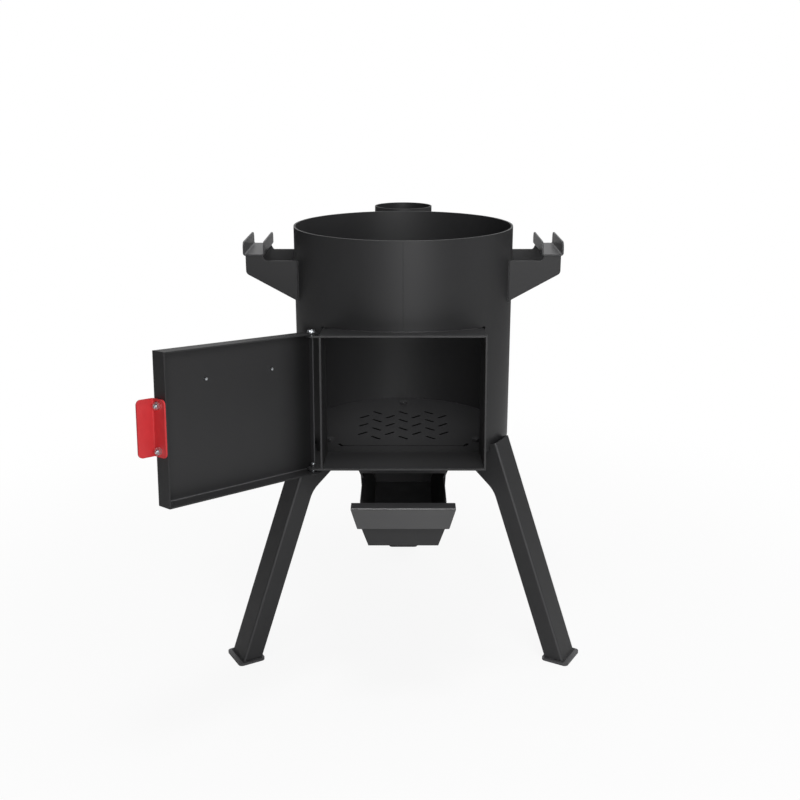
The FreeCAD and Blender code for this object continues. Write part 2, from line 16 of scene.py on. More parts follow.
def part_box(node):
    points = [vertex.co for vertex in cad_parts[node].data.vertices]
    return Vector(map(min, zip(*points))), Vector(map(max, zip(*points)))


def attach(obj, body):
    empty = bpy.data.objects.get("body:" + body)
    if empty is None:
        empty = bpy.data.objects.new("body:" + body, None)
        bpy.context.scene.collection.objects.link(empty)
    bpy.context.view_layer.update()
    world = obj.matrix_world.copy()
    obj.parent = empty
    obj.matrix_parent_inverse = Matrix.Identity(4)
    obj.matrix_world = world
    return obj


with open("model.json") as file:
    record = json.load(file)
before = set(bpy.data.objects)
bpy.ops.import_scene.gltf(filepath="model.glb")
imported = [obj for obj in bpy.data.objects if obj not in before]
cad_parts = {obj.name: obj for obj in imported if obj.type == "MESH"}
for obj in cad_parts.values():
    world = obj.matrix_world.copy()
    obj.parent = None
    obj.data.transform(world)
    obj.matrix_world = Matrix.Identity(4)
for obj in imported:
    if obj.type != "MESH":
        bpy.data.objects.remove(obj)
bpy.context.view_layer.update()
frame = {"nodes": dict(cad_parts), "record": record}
nodes = frame["nodes"]
shell_low, shell_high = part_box("body_shell")
shell_radius = (shell_high.x - shell_low.x) / 2
axis = Vector(((shell_low.x + shell_high.x) / 2, (shell_low.y + shell_high.y) / 2, 0.0))
rim_height = shell_high.z
hinge = next(joint for joint in frame["record"]["behaviour"]["joints"] if joint["name"] == "door_hinge")
hinge_place, hinge_axis = Vector(hinge["pos_m"]), Vector(hinge["axis"])
door_turn = Matrix.Rotation(radians(-hinge["range_deg"][1]), 3, hinge_axis)
door_run = door_turn @ Vector((1.0, 0.0, 0.0))
door_in = door_turn @ Vector((0.0, hinge_axis.z, -hinge_axis.y))
print("shell of", round(2000 * shell_radius, 1), "mm, rim at", round(1000 * rim_height, 1), "mm")

# %% [markdown]
# ## Camera
# The picture was taken from a little above the rim, straight in front of the stove. The lens and the place
# were worked out from the rim's ellipse, the shell's straight sides and the feet, and are written here as
# real sizes from the shell's axis.

# %% Camera
camera_distance = 1.78903
camera_height = 0.9528
camera_pitch = 16.94
lens = bpy.data.cameras.new("camera")
lens.lens = 48.67
lens.sensor_width = 36.0
lens.shift_x = -0.0041
lens.dof.use_dof = False
camera = bpy.data.objects.new("camera", lens)
camera.location = axis + Vector((0.0, -camera_distance, camera_height))
camera.rotation_euler = (radians(90.0 - camera_pitch), 0.0, 0.0)
bpy.context.scene.collection.objects.link(camera)
bpy.context.scene.camera = camera
print("camera at", [round(v, 3) for v in camera.location], "m, lens of", round(lens.lens, 2), "mm")

# %% [markdown]
# ## Writing node trees as sums
# A finish is a tree of nodes. Most of them only add and multiply, so a small class stands for one socket
# and lets Python's own signs add the Math nodes. Every other node comes from one method, which sets the
# node's settings first and its sockets after that. The same two classes serve the geometry trees below.


# %% Wires
class Wire:
    """One output socket of a node; arithmetic on it adds Math nodes to the same tree."""

    def __init__(self, graph, socket):
        self.graph = graph
        self.socket = socket

    def __getitem__(self, name):
        return Wire(self.graph, self.socket.node.outputs[name])

    def _math(self, operation, first, second):
        return self.graph.add("ShaderNodeMath", {"operation": operation}, {0: first, 1: second})

    def __add__(self, other):
        return self._math("ADD", self, other)

    def __radd__(self, other):
        return self._math("ADD", other, self)

    def __sub__(self, other):
        return self._math("SUBTRACT", self, other)

    def __rsub__(self, other):
        return self._math("SUBTRACT", other, self)

    def __mul__(self, other):
        return self._math("MULTIPLY", self, other)

    def __rmul__(self, other):
        return self._math("MULTIPLY", other, self)

    def __truediv__(self, other):
        return self._math("DIVIDE", self, other)


# %% Graphs
class Graph:
    """A node tree that is filled by one method."""

    def __init__(self, tree):
        self.tree = tree

    def add(self, kind, settings=None, sockets=None):
        """Adds a node; returns the wire of its first output, or the node itself where it has none."""
        node = self.tree.nodes.new(kind)
        for name, value in (settings or {}).items():
            setattr(node, name, value)
        for name, value in (sockets or {}).items():
            if isinstance(value, Wire):
                self.tree.links.new(value.socket, node.inputs[name])
            else:
                node.inputs[name].default_value = value
        return Wire(self, node.outputs[0]) if len(node.outputs) else node


# %% [markdown]
# Every finish below needs the same few steps: a new material, some noise, a blend of two colours, and a
# surface that is a little bumpy and rounded at its edges. Each step is a short function, so that a finish
# reads as a list of what is special about it.


# %% Steps of a finish
def shade(name):
    """A new material with an empty tree and its shader; returns the material, the graph and the shader."""
    material = bpy.data.materials.new(name)
    material.use_nodes = True
    material.node_tree.nodes.clear()
    graph = Graph(material.node_tree)
    shader = graph.add("ShaderNodeBsdfPrincipled")
    graph.add("ShaderNodeOutputMaterial", sockets={"Surface": shader})
    return material, graph, shader.socket.node


def noise(graph, place, scale, detail):
    """A wire of smooth noise at a place."""
    return graph.add("ShaderNodeTexNoise", sockets={"Vector": place, "Scale": scale, "Detail": detail})


def blend(graph, share, first, second):
    """A wire between two colours."""
    mix = graph.add("ShaderNodeMix", {"data_type": "RGBA"}, {"Factor": share, 6: first, 7: second})
    return Wire(graph, mix.socket.node.outputs[2])


def relief(graph, height, edge_radius, strength, distance):
    """A bumpy surface direction that also rounds the solid's edges."""
    edge = graph.add("ShaderNodeBevel", {"samples": 4}, {"Radius": edge_radius})
    sockets = {"Height": height, "Normal": edge, "Strength": strength, "Distance": distance}
    return graph.add("ShaderNodeBump", sockets=sockets)


def plug(graph, shader, **wires):
    """Leads wires or plain values into the shader's sockets, named with underscores for spaces."""
    for name, value in wires.items():
        socket = shader.inputs[name.replace("_", " ")]
        if isinstance(value, Wire):
            graph.tree.links.new(value.socket, socket)
        else:
            socket.default_value = value


# %% [markdown]
# ## Black paint
# The stove is sprayed with matte heat-resistant paint. Up close such paint has a fine dry grain, it lies a
# little thicker here and thinner there, and it wraps every cut edge in a small round, which is the bright
# hairline round each plate in the photograph. The grain is noise in a Bump node. The edge comes from a
# Bevel node under it, so that no solid has to change. In some places the colour is made lighter as painted
# light or a painted highlight, one bend is also made smoother, and painted shade lies over other places as
# a dull black layer of its own.


# %% Places and directions on a face
def ramp(graph, value, start, end, top=1.0):
    """A wire that climbs smoothly from 0 at one value to its top at another."""
    span = {"Value": value, "From Min": start, "From Max": end, "To Min": 0.0, "To Max": top}
    return graph.add("ShaderNodeMapRange", {"interpolation_type": "SMOOTHSTEP"}, span)


def face_normal(graph):
    """The direction that a face looks in, before any bevel or bump."""
    return graph.add("ShaderNodeNewGeometry")["True Normal"]


def along(graph, vector, direction):
    """How far a vector, such as a place, goes in a direction."""
    sockets = {0: vector, 1: direction}
    return graph.add("ShaderNodeVectorMath", {"operation": "DOT_PRODUCT"}, sockets)["Value"]


def looks(graph, direction):
    """How far a face looks in a direction, from -1 to 1."""
    return along(graph, face_normal(graph), direction)


# %% Black paint
paint_colour = (0.020, 0.020, 0.0212, 1.0)
paint_dust_colour = (0.030, 0.030, 0.0312, 1.0)
# The colour of the painted shade that lies over some places
painted_shade_colour = (0.005, 0.005, 0.005, 1.0)
plate_edge_radius = 0.0009
shell_edge_radius = 0.0006
floor_edge_radius = 0.0003
grip_edge_radius = 0.0022
# These make the paint's colour lighter as painted light: on the leg bolts, the ash chute, the grips, the
# feet and, as a painted highlight, the door's free edge
bolt_painted_light = 1.3
chute_painted_light = 1.3
grip_painted_light = 2.2
foot_painted_light = 2.8
free_edge_painted_highlight = 4.0
plate_film = 0.04
worn_film = 0.15
bolt_film = 0.3


def black_paint(name, edge_radius, painted_light=1.0, painted_shade=None, painted_highlight=None, highlight_and_smooth=None, film=plate_film):
    """Matte paint. Three functions give masks: painted shade, a painted highlight, or a painted highlight
    that also smooths.
    """
    material, graph, shader = shade(name)
    place = graph.add("ShaderNodeTexCoord")["Object"]
    drift = noise(graph, place, scale=9.0, detail=3.0)
    grain = noise(graph, place, scale=1400.0, detail=2.0)
    peel = noise(graph, place, scale=420.0, detail=1.0)
    colour = blend(graph, drift * 0.7 + grain * 0.3, paint_colour, paint_dust_colour)
    # The masks and the multiplier make the colour lighter: painted light and painted highlights
    smooth = highlight_and_smooth(graph, place) if highlight_and_smooth else 0.0
    light = painted_light * (1 + smooth + (painted_highlight(graph, place) if painted_highlight else 0.0))
    colour = graph.add("ShaderNodeVectorMath", {"operation": "SCALE"}, {0: colour, "Scale": light})
    skin = relief(graph, grain * 0.5 + peel * 0.5, edge_radius, strength=0.12, distance=0.0004)
    rough = 0.42 + drift * 0.1 + grain * 0.06 - smooth * 0.4
    plug(graph, shader, Base_Color=colour, Roughness=rough, Normal=skin)
    plug(graph, shader, Specular_IOR_Level=0.42, Coat_Weight=film, Coat_Roughness=0.2)
    # Painted shade: a dull dark layer mixed over the paint by a mask
    if painted_shade:
        layer = graph.add("ShaderNodeBsdfDiffuse", sockets={"Color": painted_shade_colour})
        both = {0: painted_shade(graph, place), 1: Wire(graph, shader.outputs[0]), 2: layer}
        mixed = graph.add("ShaderNodeMixShader", sockets=both)
        output = next(node for node in graph.tree.nodes if node.type == "OUTPUT_MATERIAL")
        graph.tree.links.new(mixed.socket, output.inputs["Surface"])
    return material


# %% [markdown]
# ## Red powder coat
# Only the door's pull is red, so that the hand finds it. Powder coat flows before it sets, so it has no
# dry grain, only a shallow orange-peel ripple and a satin shine. One flat colour would look like plastic,
# so two reds drift into each other.

# %% Red powder coat
red_colour = (0.69, 0.048, 0.053, 1.0)
red_deep_colour = (0.58, 0.032, 0.038, 1.0)
pull_edge_radius = 0.0008


def red_paint():
    """Satin red coat, a little deeper here and there."""
    material, graph, shader = shade("red_powder_coat")
    place = graph.add("ShaderNodeTexCoord")["Object"]
    ripple = noise(graph, place, scale=650.0, detail=1.0)
    drift = noise(graph, place, scale=60.0, detail=2.0)
    colour = blend(graph, drift, red_colour, red_deep_colour)
    skin = relief(graph, ripple, pull_edge_radius, strength=0.1, distance=0.0004)
    plug(graph, shader, Base_Color=colour, Roughness=0.46 + drift * 0.08, Normal=skin)
    plug(graph, shader, Specular_IOR_Level=0.36)
    return material


# %% [markdown]
# ## Bright zinc
# Hinge bolts, washers and the pull's screws are zinc plated. Zinc is a bright blue-grey metal with a faint
# cloudy bloom, so its roughness drifts more than its colour does. The hinge bolts were in place when the
# stove was sprayed, so all but their upper ends is black.

# %% Bright zinc
zinc_colour = (0.66, 0.69, 0.72, 1.0)
zinc_bloom_colour = (0.80, 0.83, 0.86, 1.0)
screw_edge_radius = 0.0003
paint_border = 0.0004


def zinc_plate(name, bare_from=0.0):
    """Zinc above a height; what lies lower was sprayed with the stove and is black."""
    material, graph, shader = shade(name)
    place = graph.add("ShaderNodeTexCoord")["Object"]
    height = graph.add("ShaderNodeSeparateXYZ", sockets={0: place})["Z"]
    span = {"Value": height, "From Min": bare_from - paint_border, "From Max": bare_from}
    bare = graph.add("ShaderNodeMapRange", sockets=span)
    bloom = noise(graph, place, scale=700.0, detail=3.0)
    zinc_tone = blend(graph, bloom, zinc_colour, zinc_bloom_colour)
    colour = blend(graph, bare, paint_dust_colour, zinc_tone)
    skin = relief(graph, bloom, screw_edge_radius, strength=0.08, distance=0.0002)
    rough = 0.44 - bare * 0.2 + bloom * 0.16
    plug(graph, shader, Base_Color=colour, Metallic=bare, Roughness=rough, Normal=skin)
    return material


# %% [markdown]
# ## Painted shade and painted highlights
# Painted shade darkens the door's inside along the hinge, and the shell and the leg in the gap between door
# and collar. It also darkens the walls and rims of the fire floor's slots, the floor towards its two sides,
# and the ash chute but its front. Painted highlights lighten the bends of the front legs, of the drawer's
# front and of the door's lower flange, and the drawer's bend is also smoother. Each of these places is a
# mask: a function that adds nodes to the paint's tree and returns one wire. A painted picture could do the
# same, but most of these masks follow the solids when a size changes.

# %% Painted shade
up_z = (0.0, 0.0, 1.0)
to_the_front = (0.0, -1.0, 0.0)
# Sizes and strengths of the painted shade on the door, the shell, the floor, the chute and the leg
door_shade_width, door_shade_past_hinge, door_shade_share = 0.06, 0.005, 0.6
shell_shade_half_width, shell_shade_fade, shell_shade_share = 0.03, 0.015, 0.56
shell_shade_below_collar, shell_shade_end_fade = 0.06, 0.02
slot_shade_width, slot_shade_share = 0.0014, 0.8
# How far the rounded edge still looks the way its face does, where the painted shade begins and where it is
# full
slot_rim_from, slot_rim_full = 0.99, 0.85
# Squares of the distance from the middle line
floor_side_from, floor_side_full = 0.003, 0.02
floor_side_shade, floor_shade_limit = 0.3, 0.92
chute_side_from, chute_side_full, chute_shade_share = 0.8, 0.4, 0.5
leg_shade_from, leg_shade_to, leg_shade_share = 0.345, 0.365, 0.5


def door_painted_shade(graph, place):
    """Painted shade on the door, from none some way off the hinge to darkest at the edge beside it."""
    away = along(graph, place, door_run)
    start = hinge_place.dot(door_run)
    end = start - door_shade_past_hinge
    return ramp(graph, away, start + door_shade_width, end, door_shade_share)


def shell_painted_shade(graph, place):
    """Painted shade on the front of the shell, in an upright band behind the hinge."""
    spot = graph.add("ShaderNodeSeparateXYZ", sockets={0: place})
    left_edge = hinge_place.x - shell_shade_half_width
    right_edge = hinge_place.x + shell_shade_half_width
    across = ramp(graph, spot["X"], left_edge, left_edge + shell_shade_fade)
    across = across * ramp(graph, spot["X"], right_edge, right_edge - shell_shade_fade)
    low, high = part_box("collar_left")
    bottom = low.z - shell_shade_below_collar
    upright = ramp(graph, spot["Z"], bottom, bottom + shell_shade_end_fade)
    upright = upright * ramp(graph, spot["Z"], high.z, high.z - shell_shade_end_fade)
    front = ramp(graph, spot["Y"], axis.y, axis.y - shell_shade_end_fade, shell_shade_share)
    return across * upright * front


def floor_painted_shade(graph, place):
    """Painted shade on the slots' walls and round their rims, and a thin layer towards the two sides."""
    edge = graph.add("ShaderNodeBevel", {"samples": 6}, {"Radius": slot_shade_width})
    same = along(graph, edge, face_normal(graph))
    rim = ramp(graph, same, slot_rim_from, slot_rim_full, slot_shade_share)
    up = looks(graph, up_z)
    spot = graph.add("ShaderNodeVectorMath", {"operation": "SUBTRACT"}, {0: place, 1: axis})
    spot = graph.add("ShaderNodeSeparateXYZ", sockets={0: spot})
    aside = ramp(graph, spot["X"] * spot["X"], floor_side_from, floor_side_full, floor_side_shade)
    total = rim + (1 - up * up) + aside
    return graph.add("ShaderNodeMath", {"operation": "MINIMUM"}, {0: total, 1: floor_shade_limit})


def chute_painted_shade(graph, place):
    """Painted shade on all of the ash chute but its front."""
    front = looks(graph, to_the_front)
    return ramp(graph, front, chute_side_from, chute_side_full, chute_shade_share)


def leg_painted_shade(graph, place):
    """Painted shade on the top of the leg that stands behind the hinge."""
    height = graph.add("ShaderNodeSeparateXYZ", sockets={0: place})["Z"]
    return ramp(graph, height, leg_shade_from, leg_shade_to, leg_shade_share)


# %% Painted highlights
# How far a face looks up, or towards the leg's bend, where its painted highlight begins and where it is
# full
bend_from, bend_full, bend_highlight_and_polish = 0.4, 0.55, 0.7
lip_from, lip_full, lip_highlight_and_polish = 0.9, 0.99, 0.3
leg_bend_from, leg_bend_full, leg_highlight_share = 0.84, 0.94, 1.1
door_highlight_share = 2.2
# Depth from the door's outer skin at which the line begins, is full, is still full and ends
door_bend_inside = (0.0013, 0.0017, 0.0030, 0.0034)


def door_bend_highlight(graph, place):
    """A painted highlight: a light line inside the bend of the door's lower flange, found by its depth from
    two outer faces.
    """
    corners = [vertex.co for vertex in nodes["door_panel"].data.vertices]
    begin, inside, still_inside, finish = door_bend_inside
    painted_highlight = door_highlight_share
    for direction in (hinge_axis, door_in):
        depth = along(graph, place, direction) - min(corner.dot(direction) for corner in corners)
        painted_highlight = painted_highlight * ramp(graph, depth, begin, inside) * ramp(graph, depth, finish, still_inside)
    return painted_highlight


def drawer_bend_highlight(graph, place):
    """A painted highlight on the drawer's front bend, which is also made smoother, and a weaker one on its
    flat lip.
    """
    up = looks(graph, up_z)
    bend = ramp(graph, up, bend_from, bend_full) * ramp(graph, up, lip_full, lip_from, bend_highlight_and_polish)
    return bend + ramp(graph, up, lip_from, lip_full, lip_highlight_and_polish)


def leg_bend_highlight(azimuth):
    """A painted highlight on the bend of a leg that looks in one direction, in degrees from +X."""
    toward = (cos(radians(azimuth)), sin(radians(azimuth)), 0.0)

    def highlight(graph, place):
        return ramp(graph, looks(graph, toward), leg_bend_from, leg_bend_full, leg_highlight_share)

    return highlight


# %% [markdown]
# ## Painting the solids
# The record gives each node a material slot, and most nodes take their slot's finish. A few have a finish
# of their own: painted shade, painted highlights, or a colour made lighter as painted light, and the hinge
# bolts are black below their bare ends. Only a mesh's list of materials changes, so every solid keeps its
# shape.

# %% Painting the solids
low_bolt_bare, high_bolt_bare = 0.0014, 0.007
finishes = {
    "black_paint": black_paint("black_paint", plate_edge_radius),
    "red_paint": red_paint(),
    "zinc": zinc_plate("zinc_plate"),
}
grip_paint = black_paint("grip_paint", grip_edge_radius, painted_light=grip_painted_light, film=worn_film)
foot_paint = black_paint("foot_paint", plate_edge_radius, painted_light=foot_painted_light, film=worn_film)
low_bolt_finish = zinc_plate("low_bolt_zinc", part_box("hinge_bolt_bottom")[1].z - low_bolt_bare)
high_bolt_finish = zinc_plate("high_bolt_zinc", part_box("hinge_bolt_top")[1].z - high_bolt_bare)
# Painted shade on the shell, the fire's floor, the left leg, the door and the chute; painted highlights on
# the legs, door and drawer; painted light on bolts, grips, feet and chute
own_finishes = {
    "body_shell": black_paint("shell_paint", shell_edge_radius, painted_shade=shell_painted_shade),
    "fire_floor": black_paint("floor_paint", floor_edge_radius, painted_shade=floor_painted_shade),
    "leg_bolts": black_paint("bolt_paint", floor_edge_radius, painted_light=bolt_painted_light, film=bolt_film),
    "leg_front_left": black_paint(
        "left_leg_paint", plate_edge_radius, painted_shade=leg_painted_shade, painted_highlight=leg_bend_highlight(255.0)
    ),
    "leg_front_right": black_paint("right_leg_paint", plate_edge_radius, painted_highlight=leg_bend_highlight(285.0)),
    "door_panel": black_paint("door_paint", plate_edge_radius, painted_shade=door_painted_shade, painted_highlight=door_bend_highlight),
    "drawer_front": black_paint("drawer_paint", plate_edge_radius, highlight_and_smooth=drawer_bend_highlight),
    "ash_chute": black_paint("chute_paint", plate_edge_radius, painted_light=chute_painted_light, painted_shade=chute_painted_shade),
    "handle_left_grip": grip_paint,
    "handle_right_grip": grip_paint,
    "foot_front_left": foot_paint,
    "foot_front_right": foot_paint,
    "foot_rear": foot_paint,
    "hinge_bolt_bottom": low_bolt_finish,
    "hinge_bolt_top": high_bolt_finish,
}
for subpart in frame["record"]["subparts"]:
    mesh = nodes[subpart["node"]].data
    mesh.materials.clear()
    mesh.materials.append(own_finishes.get(subpart["node"], finishes[subpart["material_slot"]]))
finish_count = len(set(finishes.values()) | set(own_finishes.values()))

# %% [markdown]
# ## Pieces along paths
# A weld bead is a row of overlapping drops, a thread is a ridge on a spiral, and the tube's seam is a low
# strip. Each is a geometry tree with a few named inputs. The tree runs once, its result becomes a plain
# mesh, and that mesh rides on the body that it belongs to.


# %% Geometry trees
def geometry_tree(name, inputs):
    """A new geometry tree with named inputs after the geometry; returns the graph and its input wires."""
    tree = bpy.data.node_groups.new(name, "GeometryNodeTree")
    tree.interface.new_socket("Geometry", in_out="INPUT", socket_type="NodeSocketGeometry")
    tree.interface.new_socket("Geometry", in_out="OUTPUT", socket_type="NodeSocketGeometry")
    for label, kind in inputs.items():
        tree.interface.new_socket(label, in_out="INPUT", socket_type=kind)
    graph = Graph(tree)
    return graph, graph.add("NodeGroupInput")


def close_tree(graph, shape, material):
    """Ends a tree: real geometry, smooth, in one finish."""
    shape = graph.add("GeometryNodeRealizeInstances", sockets={"Geometry": shape})
    shape = graph.add("GeometryNodeSetShadeSmooth", sockets={"Geometry": shape})
    shape = graph.add("GeometryNodeSetMaterial", sockets={"Geometry": shape, "Material": material})
    graph.add("NodeGroupOutput", sockets={"Geometry": shape})
    return graph.tree


def path_object(name, paths):
    """A curve object with one straight-legged spline for each list of points."""
    curve = bpy.data.curves.new(name, "CURVE")
    curve.dimensions = "3D"
    for points in paths:
        spline = curve.splines.new("POLY")
        spline.points.add(len(points) - 1)
        for point, place in zip(spline.points, points):
            point.co = (*place, 1.0)
    holder = bpy.data.objects.new(name, curve)
    bpy.context.scene.collection.objects.link(holder)
    return holder


def grown(name, tree, paths, body, slot, **values):
    """Runs a tree on paths, keeps the result as a plain mesh and lets it ride on a body."""
    source = path_object(name + "_path", paths)
    modifier = source.modifiers.new("tree", "NODES")
    modifier.node_group = tree
    for item in tree.interface.items_tree:
        if item.in_out == "INPUT" and item.name.replace(" ", "_") in values:
            modifier[item.identifier] = values[item.name.replace(" ", "_")]
    seen = source.evaluated_get(bpy.context.evaluated_depsgraph_get())
    mesh = bpy.data.meshes.new_from_object(seen)
    mesh.name = name
    source.modifiers.remove(modifier)
    bpy.data.objects.remove(source)
    piece = bpy.data.objects.new(name, mesh)
    bpy.context.scene.collection.objects.link(piece)
    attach(piece, body)
    print(name, len(mesh.polygons), "faces on", body)
    return piece


# %% [markdown]
# ## Weld beads
# The handle brackets, the feet and the flue are welded on. A bead is laid drop by drop: each drop is a
# flattened ball, a little larger or smaller than the last, and the next one overlaps it. The tree walks the
# path at an even pitch and sets a drop on each point, turned along the path. A swept tube would be simpler,
# but it would look like a wire. Paint covers the beads as it covers the plates.

# %% Bead tree
bead_inputs = {
    "Pitch": "NodeSocketFloat",
    "Bead Radius": "NodeSocketFloat",
    "Seed": "NodeSocketInt",
    "Material": "NodeSocketMaterial",
}
bead, given = geometry_tree("weld_bead", bead_inputs)
pace = {"Curve": given["Geometry"], "Length": given["Pitch"]}
walk = bead.add("GeometryNodeCurveToPoints", {"mode": "LENGTH"}, pace)
ball_sockets = {"Segments": 10, "Rings": 6, "Radius": given["Bead Radius"]}
drop = bead.add("GeometryNodeMeshUVSphere", sockets=ball_sockets)
spread = {2: 0.86, 3: 1.1, "Seed": given["Seed"]}
uneven = bead.add("FunctionNodeRandomValue", {"data_type": "FLOAT"}, spread)
uneven = Wire(bead, uneven.socket.node.outputs[1])
size = bead.add("ShaderNodeCombineXYZ", sockets={"X": uneven, "Y": uneven, "Z": uneven * 0.8})
drops = bead.add(
    "GeometryNodeInstanceOnPoints",
    sockets={"Points": walk["Points"], "Instance": drop, "Rotation": walk["Rotation"], "Scale": size},
)
bead_tree = close_tree(bead, drops, given["Material"])
print("bead tree of", len(bead_tree.nodes), "nodes")

# %% [markdown]
# The beads' paths follow from the solids' own boxes. A bracket's bead stands in the corner between its
# plate and the round shell, so its place along the shell comes from the circle.


# %% Beads of the handle brackets
def on_shell(x, z, radius=shell_radius, centre=axis, side=1.0):
    """Point of an upright cylinder's skin at a sideways place and height, on its back or its front."""
    return Vector((x, centre.y + side * sqrt(radius**2 - (x - centre.x) ** 2), z))


bracket_foot_gap, bracket_top_gap = 0.001, 0.0095
bracket_paths = []
for side, end in (("left", -1.0), ("right", 1.0)):
    for place in ("front", "rear"):
        low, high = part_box("handle_%s_%s" % (side, place))
        for y in (low.y, high.y):
            x = axis.x + end * sqrt(shell_radius**2 - (y - axis.y) ** 2)
            heights = (low.z + bracket_foot_gap, high.z - bracket_top_gap)
            bracket_paths.append([Vector((x, y, z)) for z in heights])

print(len(bracket_paths), "beads on the handle brackets")

# %% Beads of the feet
legs = ("front_left", "front_right", "rear")
leg_end_height = 0.0045
foot_paths = []
for leg in legs:
    ring = [v.co.xy - axis.xy for v in nodes["leg_" + leg].data.vertices if v.co.z < leg_end_height]
    middle = sum(ring, Vector((0.0, 0.0))) / len(ring)
    out = middle.normalized()
    aside = Vector((-out.y, out.x))
    reach = max(p.dot(out) for p in ring)
    back = min(p.dot(out) for p in ring)
    half = max(abs(p.dot(aside)) for p in ring)
    foot_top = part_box("foot_" + leg)[1].z
    spots = [(back, -half), (reach, -half), (reach, half), (back, half)]
    flat = [axis.xy + out * r + aside * t for r, t in spots]
    foot_paths.append([Vector((p.x, p.y, foot_top)) for p in flat])

print(len(foot_paths), "beads on the feet")

# %% Beads of the flue
neck_low, neck_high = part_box("flue_neck")
pipe_low, pipe_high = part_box("flue_pipe")
pipe_radius = (pipe_high.x - pipe_low.x) / 2
pipe_axis = (pipe_low + pipe_high) / 2
neck_ring = [
    (neck_low.x, neck_low.z),
    (neck_high.x, neck_low.z),
    (neck_high.x, neck_high.z),
    (neck_low.x, neck_high.z),
    (neck_low.x, neck_low.z),
]
side_steps, round_steps = 12, 64
ring_steps = []
for (x0, z0), (x1, z1) in zip(neck_ring, neck_ring[1:]):
    ring_steps += [
        (x0 + (x1 - x0) * i / side_steps, z0 + (z1 - z0) * i / side_steps) for i in range(side_steps)
    ]
ring_steps.append(neck_ring[0])
flue_paths = [
    [on_shell(x, z) for x, z in ring_steps],
    [on_shell(x, z, pipe_radius, pipe_axis, -1.0) for x, z in ring_steps],
    [
        Vector((pipe_axis.x + pipe_radius * cos(turn), pipe_axis.y + pipe_radius * sin(turn), pipe_low.z))
        for turn in [2 * pi * i / round_steps for i in range(round_steps + 1)]
    ],
]

print(len(flue_paths), "beads on the flue")

# %% Weld beads
paint, zinc = finishes["black_paint"], finishes["zinc"]
for name, paths, radius, seed in (
    ("bracket_welds", bracket_paths, 0.0019, 3),
    ("foot_welds", foot_paths, 0.0014, 5),
    ("flue_welds", flue_paths, 0.0019, 8),
):
    grown(
        name, bead_tree, paths, "stove", "black_paint",
        Pitch=0.9 * radius, Bead_Radius=radius, Seed=seed, Material=paint,
    )

# %% [markdown]
# ## Screw threads
# A metric thread is a ridge that climbs by one pitch in each turn: 1 mm for M6 and 1.25 mm for M8. Only the
# ends that stand free of the nuts show it. The tree draws a spiral, sweeps a three-sided section along it,
# and sets a copy on the start of each path, turned so that it climbs along the path. The cut end of the
# bolt is a low dome. A bump in the finish would be lighter, but it leaves the outline smooth.

# %% Thread tree
thread_inputs = {
    "Bolt Radius": "NodeSocketFloat",
    "Thread Pitch": "NodeSocketFloat",
    "Length": "NodeSocketFloat",
    "Material": "NodeSocketMaterial",
}
thread, given = geometry_tree("screw_thread", thread_inputs)
spiral = thread.add(
    "GeometryNodeCurveSpiral",
    sockets={
        "Resolution": 24,
        "Rotations": given["Length"] / given["Thread Pitch"],
        "Start Radius": given["Bolt Radius"],
        "End Radius": given["Bolt Radius"],
        "Height": given["Length"],
    },
)
ridge_sockets = {"Resolution": 3, "Radius": given["Thread Pitch"] * 0.3}
ridge = thread.add("GeometryNodeCurvePrimitiveCircle", sockets=ridge_sockets)
sweep = {"Curve": spiral, "Profile Curve": ridge, "Fill Caps": True}
swept = thread.add("GeometryNodeCurveToMesh", sockets=sweep)
ball_sockets = {"Segments": 24, "Rings": 12, "Radius": given["Bolt Radius"]}
ball = thread.add("GeometryNodeMeshUVSphere", sockets=ball_sockets)
tip = thread.add("ShaderNodeCombineXYZ", sockets={"Z": given["Length"]})
flatten = {"Geometry": ball, "Translation": tip, "Scale": (0.92, 0.92, 0.3)}
dome = thread.add("GeometryNodeTransform", sockets=flatten)
screw = thread.add("GeometryNodeJoinGeometry", sockets={"Geometry": swept})
thread.tree.links.new(dome.socket, screw.socket.node.inputs["Geometry"])
first = {"Curve": given["Geometry"], "Count": 1}
start = thread.add("GeometryNodeCurveToPoints", {"mode": "COUNT"}, first)
set_on = thread.add(
    "GeometryNodeInstanceOnPoints",
    sockets={"Points": start["Points"], "Instance": screw, "Rotation": start["Rotation"]},
)
thread_tree = close_tree(thread, set_on, given["Material"])
print("thread tree of", len(thread_tree.nodes), "nodes")


# %% [markdown]
# Each thread starts a known length short of its bolt's end, and the end is read from the solid: the middle
# of the points that lie furthest along the bolt. The door's bolts point the way that the door's skin runs.


# %% Screw threads
def tip_of(points, direction):
    """Middle of the points that lie furthest in a direction."""
    far = max(p.dot(direction) for p in points)
    cap = [p for p in points if p.dot(direction) > far - 0.0001]
    return sum(cap, Vector()) / len(cap)


down = Vector((0.0, 0.0, -1.0))


def thread_paths(groups, direction, length):
    """One path for each bolt, from the start of its free thread to its end."""
    ends = [tip_of(points, direction) for points in groups]
    return [[end - direction * length, end] for end in ends]


def corners_of(node):
    return [v.co.copy() for v in nodes[node].data.vertices]


pull_points = corners_of("door_pull_bolts")
pull_middle = sum(pull_points, Vector()) / len(pull_points)
pull_groups = [[p for p in pull_points if (p.z > pull_middle.z) == upper] for upper in (False, True)]
leg_groups = []
for leg in legs:
    low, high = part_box("foot_" + leg)
    out = ((low + high) / 2 - axis).xy.normalized()
    leg_groups.append([p for p in corners_of("leg_bolts") if (p - axis).xy.normalized().dot(out) > 0.9])
hinge_groups = [corners_of("hinge_bolt_bottom")]
